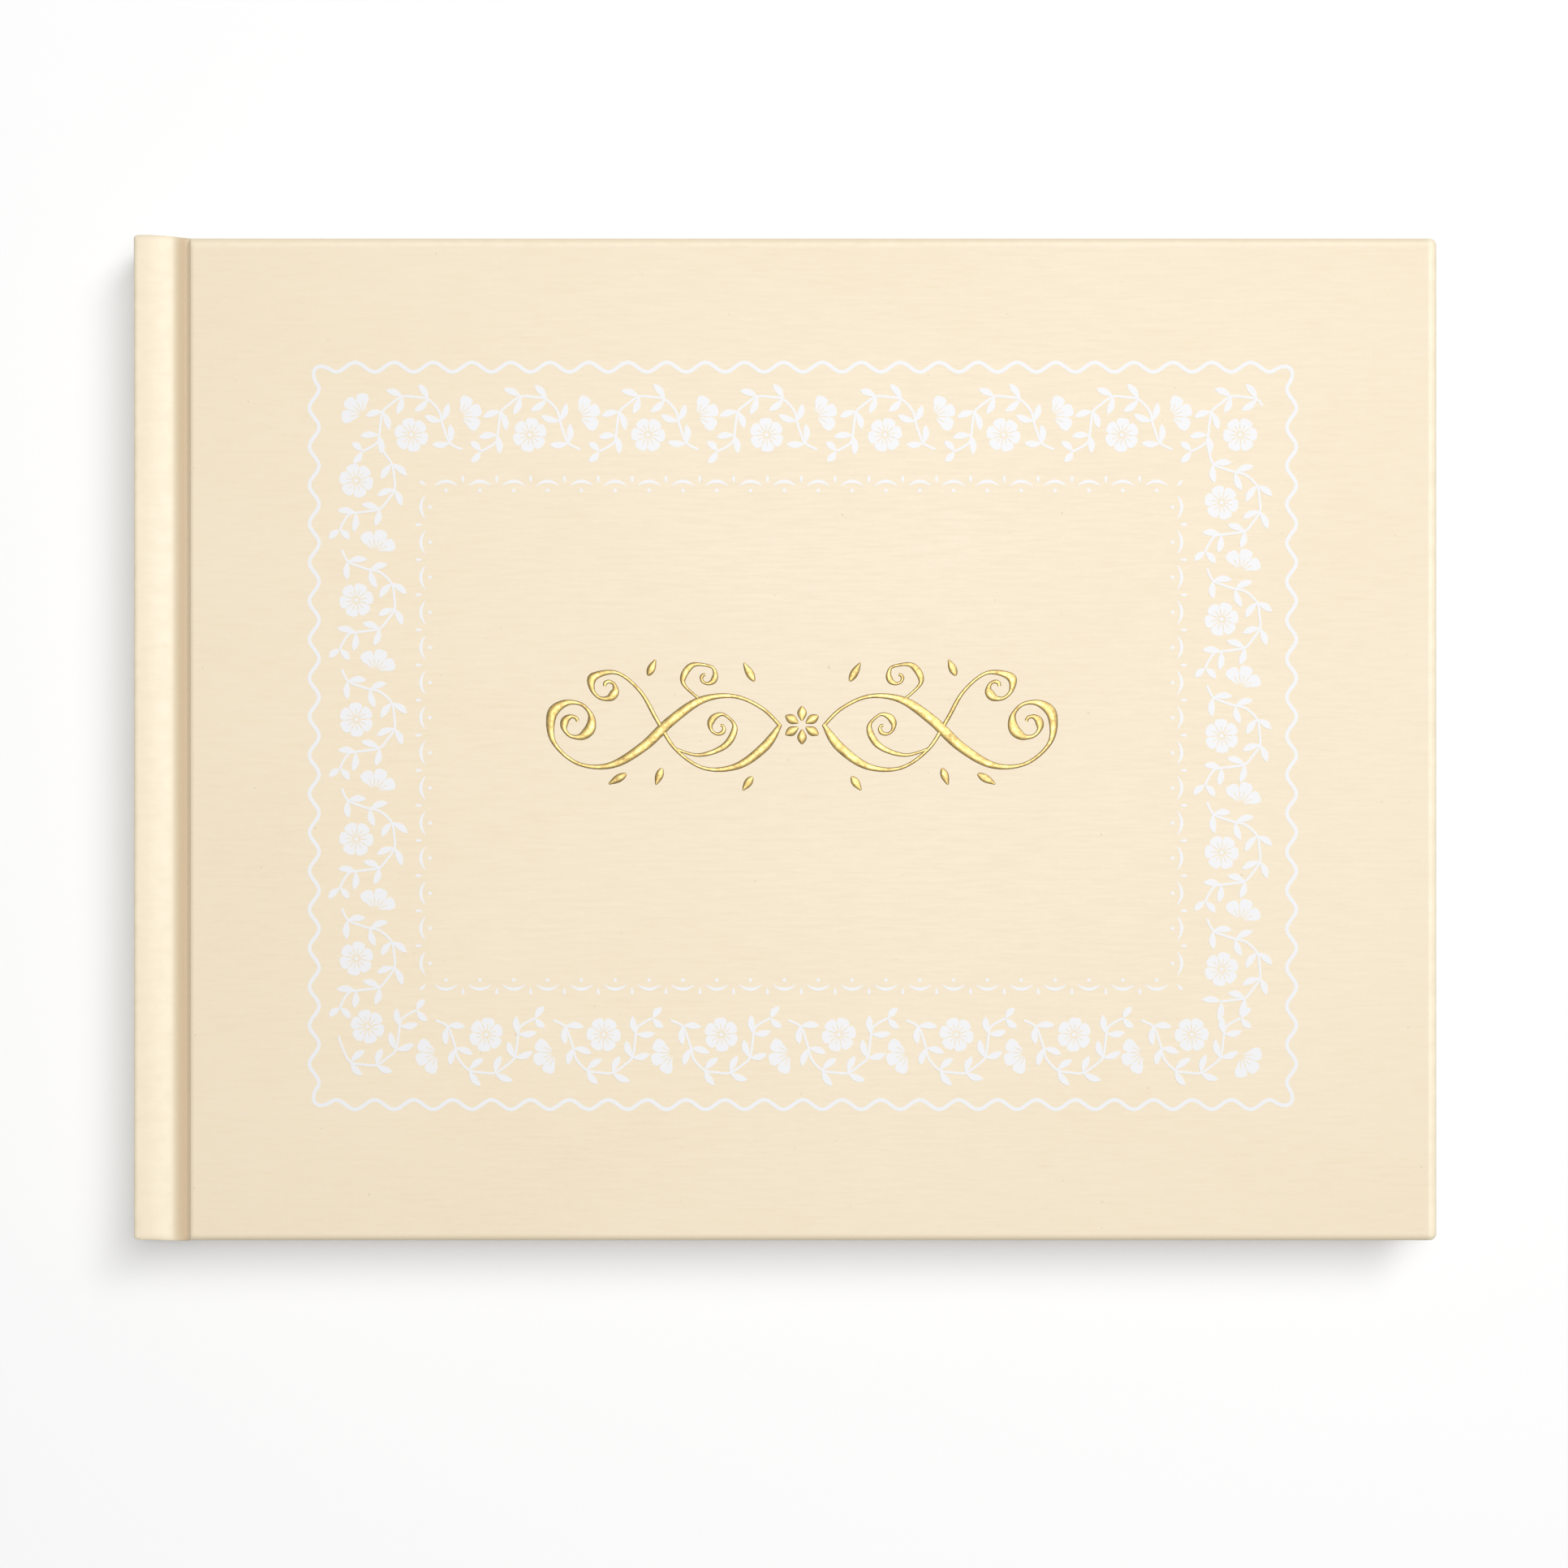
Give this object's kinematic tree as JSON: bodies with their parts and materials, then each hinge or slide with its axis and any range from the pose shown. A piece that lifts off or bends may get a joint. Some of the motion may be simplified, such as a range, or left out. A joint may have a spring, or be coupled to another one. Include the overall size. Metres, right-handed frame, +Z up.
{
  "type": "wedding guest book",
  "caption": "Landscape hardcover guest book with a sewn page block, a grooved joint beside the spine and covers that open on the spine's edges.",
  "frame": {"origin": "centre of the closed book's footprint, on the surface that it rests on", "axes": "+X from the spine to the fore-edge, +Y from the tail to the head, +Z up through the front cover"},
  "size_m": [0.2794, 0.2154, 0.02],
  "materials": {
    "covering": "cream coated paper, satin",
    "greyboard": "raw greyboard",
    "gauze": "open cotton weave",
    "endpaper": "matt ivory endpaper",
    "page_paper": "matt uncoated paper",
    "lining_paper": "brown kraft paper",
    "thread": "waxed linen",
    "headband": "woven cotton with a satin stripe"
  },
  "bodies": {
    "book_block": {"section_02": "page_paper", "section_03": "page_paper", "section_04": "page_paper", "section_05": "page_paper", "section_06": "page_paper", "section_07": "page_paper", "section_08": "page_paper", "spine_covering": "covering", "spine_board": "greyboard", "spine_lining": "lining_paper", "mull": "gauze", "sewing_thread": "thread", "headband_head": "headband", "headband_tail": "headband", "back_flyleaf": "endpaper"},
    "front_cover": {"front_covering": "covering", "front_board": "greyboard", "front_mull_flap": "gauze", "front_pastedown": "endpaper"},
    "front_endleaf": {"front_flyleaf": "endpaper"},
    "first_section": {"section_01": "page_paper"},
    "back_cover": {"back_covering": "covering", "back_board": "greyboard", "back_mull_flap": "gauze", "back_pastedown": "endpaper"}
  },
  "joints": [
    {"name": "front_cover_hinge", "type": "hinge", "parent": "book_block", "child": "front_cover", "pos_m": [-0.1381, 0, 0.0184], "axis": [0, -1, 0], "range_deg": [0, 179]},
    {"name": "front_endleaf_turn", "type": "hinge", "parent": "book_block", "child": "front_endleaf", "pos_m": [-0.1381, 0, 0.0184], "axis": [0, -1, 0], "range_deg": [0, 178]},
    {"name": "first_section_turn", "type": "hinge", "parent": "book_block", "child": "first_section", "pos_m": [-0.1381, 0, 0.0184], "axis": [0, -1, 0], "range_deg": [0, 177]},
    {"name": "back_cover_hinge", "type": "hinge", "parent": "book_block", "child": "back_cover", "pos_m": [-0.1381, 0, 0.0016], "axis": [0, 1, 0], "range_deg": [0, 179]}
  ],
  "couplings": [
    {"joint": "front_endleaf_turn", "follows": "front_cover_hinge", "ratio": 0.993},
    {"joint": "first_section_turn", "follows": "front_cover_hinge", "ratio": 0.986}
  ]
}
